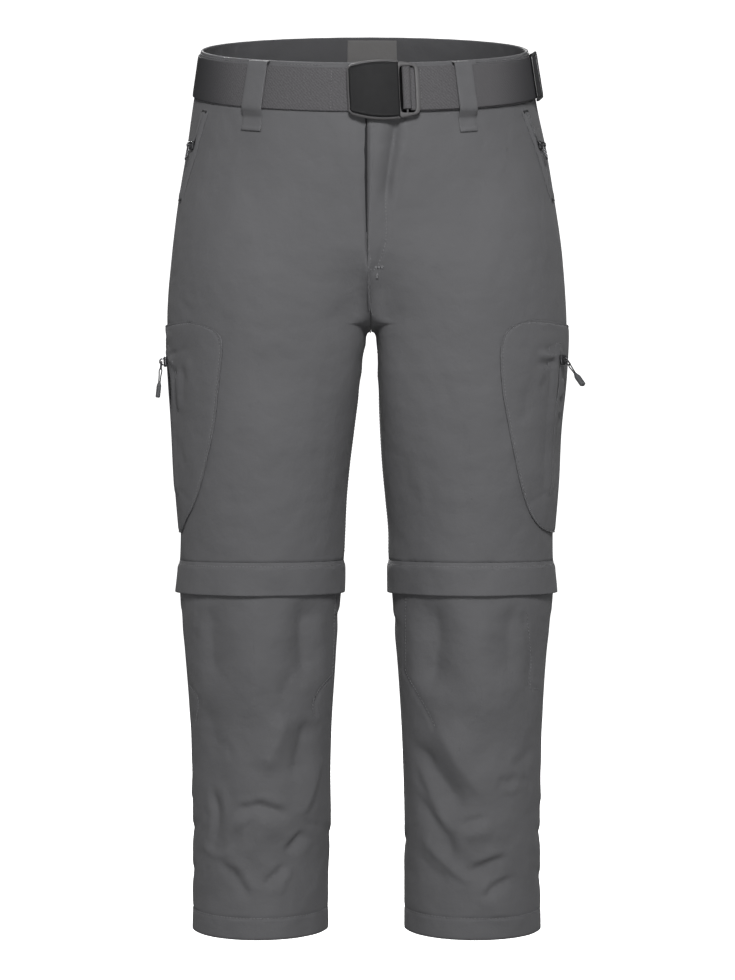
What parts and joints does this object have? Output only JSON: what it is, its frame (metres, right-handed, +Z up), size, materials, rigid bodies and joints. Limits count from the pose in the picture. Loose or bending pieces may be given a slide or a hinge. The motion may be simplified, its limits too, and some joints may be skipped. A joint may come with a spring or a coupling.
{
  "type": "convertible zip-off trousers with belt",
  "caption": "Cropped hiking trousers with zip-off lower legs, cargo pockets and a webbing belt, hollow and standing as when worn.",
  "frame": {"origin": "centre of the waist opening, level with its top edge at the sides", "axes": "+Z up along the wearer, the front of the trousers faces -Y, +X is the wearer's left"},
  "size_m": [0.4183, 0.2631, 0.9147],
  "materials": {
    "shell_cloth": "fine woven nylon with a soft low sheen",
    "webbing": "ribbed woven webbing",
    "zip_tape": "black coil zip on woven tape",
    "dark_metal": "dark plated metal",
    "black_plastic": "matt moulded",
    "grey_plastic": "matt moulded",
    "label_cloth": "bare woven label"
  },
  "bodies": {
    "garment": {"waistband_front_left": "shell_cloth", "waistband_front_right": "shell_cloth", "waistband_back": "shell_cloth", "upper_front_left": "shell_cloth", "upper_back_left": "shell_cloth", "upper_front_right": "shell_cloth", "upper_back_right": "shell_cloth", "waist_label": "label_cloth", "fly_zip": "zip_tape", "belt_loop_front_left": "shell_cloth", "belt_loop_front_right": "shell_cloth", "belt_loop_back_left": "shell_cloth", "belt_loop_back_middle": "shell_cloth", "belt_loop_back_right": "shell_cloth", "belt_strap": "webbing", "belt_strap_front": "webbing", "belt_adjuster": "black_plastic", "buckle_frame": "black_plastic", "buckle_plate": "black_plastic", "buckle_clamp": "dark_metal", "belt_turn": "webbing", "side_pocket_zip_left": "zip_tape", "cargo_pocket_left": "shell_cloth", "cargo_zip_left": "zip_tape", "cargo_zip_cover_left": "shell_cloth", "cargo_slider_left": "dark_metal", "side_slider_left": "dark_metal", "knee_flap_front_left": "shell_cloth", "knee_flap_back_left": "shell_cloth", "knee_zip_left": "zip_tape", "lower_front_left": "shell_cloth", "lower_back_left": "shell_cloth", "side_pocket_zip_right": "zip_tape", "cargo_pocket_right": "shell_cloth", "cargo_zip_right": "zip_tape", "cargo_zip_cover_right": "shell_cloth", "cargo_slider_right": "dark_metal", "side_slider_right": "dark_metal", "knee_flap_front_right": "shell_cloth", "knee_flap_back_right": "shell_cloth", "knee_zip_right": "zip_tape", "lower_front_right": "shell_cloth", "lower_back_right": "shell_cloth"},
    "cargo_pull_left": {"cargo_pull_link_left": "dark_metal", "cargo_pull_cord_left": "black_plastic", "cargo_pull_grip_left": "grey_plastic"},
    "side_tab_left": {"side_pull_left": "dark_metal"},
    "cargo_pull_right": {"cargo_pull_link_right": "dark_metal", "cargo_pull_cord_right": "black_plastic", "cargo_pull_grip_right": "grey_plastic"},
    "side_tab_right": {"side_pull_right": "dark_metal"}
  },
  "joints": [
    {"name": "cargo_pull_left_swing", "type": "hinge", "parent": "garment", "child": "cargo_pull_left", "pos_m": [-0.20291, -0.03056, -0.31364], "axis": [-0.2632, 0.9647, 0], "range_deg": [0, 140]},
    {"name": "cargo_pull_right_swing", "type": "hinge", "parent": "garment", "child": "cargo_pull_right", "pos_m": [0.19232, -0.05938, -0.31363], "axis": [-0.8003, -0.5996, 0], "range_deg": [0, 95]},
    {"name": "side_tab_left_swing", "type": "hinge", "parent": "garment", "child": "side_tab_left", "pos_m": [-0.17482, -0.04536, -0.10315], "axis": [-0.5019, 0.8649, 0], "range_deg": [0, 135]},
    {"name": "side_tab_right_swing", "type": "hinge", "parent": "garment", "child": "side_tab_right", "pos_m": [0.17249, -0.0454, -0.10302], "axis": [-0.5098, -0.8603, 0], "range_deg": [0, 135]}
  ]
}
